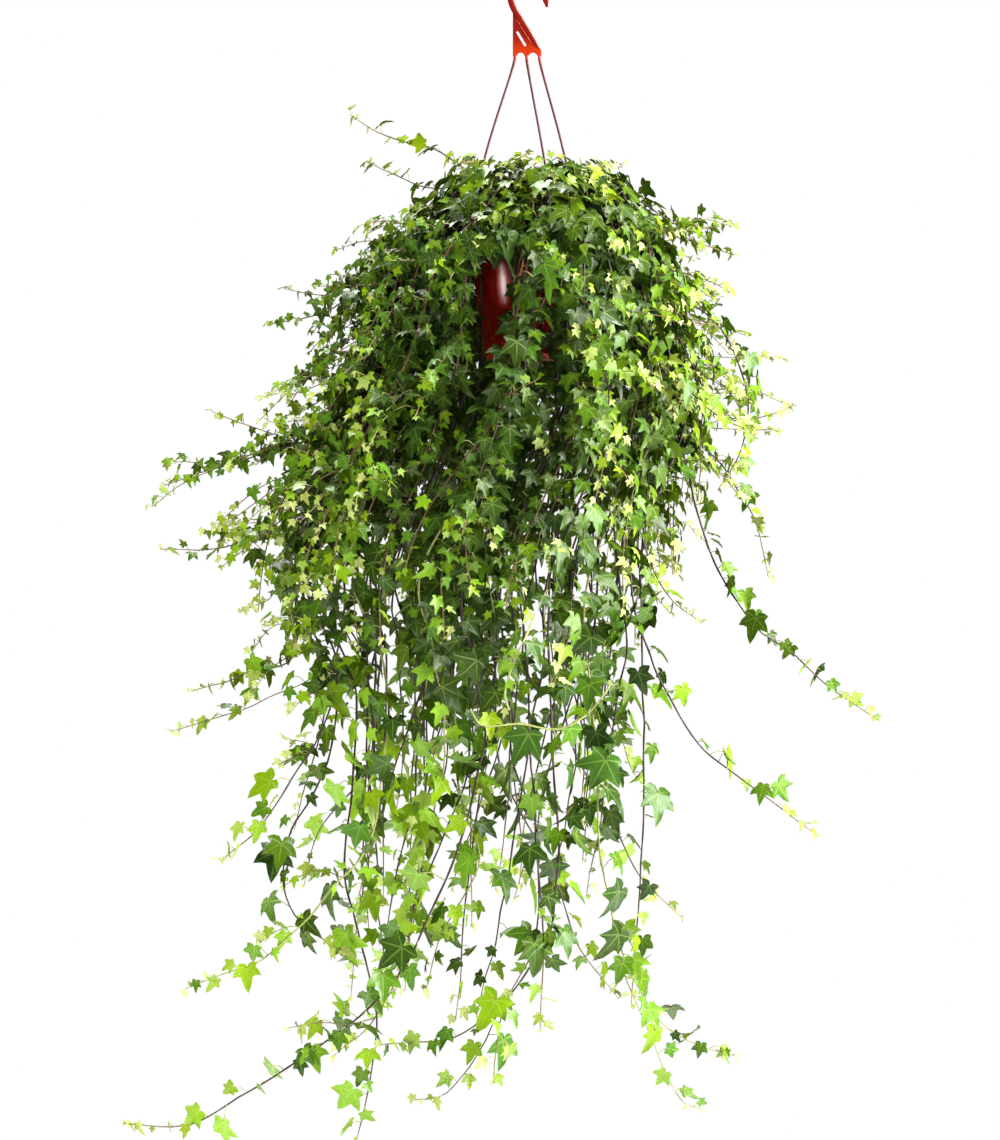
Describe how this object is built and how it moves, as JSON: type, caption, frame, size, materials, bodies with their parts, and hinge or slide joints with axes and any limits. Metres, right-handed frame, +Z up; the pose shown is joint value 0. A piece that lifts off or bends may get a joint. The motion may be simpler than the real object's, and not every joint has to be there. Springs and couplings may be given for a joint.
{
  "type": "potted trailing english ivy in a hanging pot",
  "caption": "Trailing ivy in a plastic hanging pot: a dome of lobed leaves over the rim and a long curtain of hanging vines, held by a hook on a fan plate with thin rods.",
  "frame": {"origin": "inner top of the hook, where the ceiling hook or rail bears", "axes": "+Z up along the hanging direction; -Y is the front that the picture shows, with the pot showing through a gap in the leaves; +X to the right seen from the front"},
  "size_m": [0.9172, 0.7482, 1.4872],
  "materials": {
    "hanger_plastic": "glossy orange-red moulded plastic",
    "pot_plastic": "glossy terracotta-red moulded plastic",
    "potting_soil": "dark crumbly potting soil",
    "ivy_foliage": "waxy green ivy leaves with paler veins, dark stems"
  },
  "bodies": {
    "root": {"hanger": "hanger_plastic", "pot_shell": "pot_plastic", "soil": "potting_soil", "ivy_plant_01": "ivy_foliage", "ivy_plant_02": "ivy_foliage", "ivy_plant_03": "ivy_foliage", "ivy_plant_04": "ivy_foliage", "ivy_plant_05": "ivy_foliage", "ivy_plant_06": "ivy_foliage", "ivy_plant_07": "ivy_foliage", "ivy_plant_08": "ivy_foliage", "ivy_plant_09": "ivy_foliage", "ivy_plant_10": "ivy_foliage", "ivy_plant_11": "ivy_foliage", "ivy_plant_12": "ivy_foliage"}
  },
  "joints": []
}
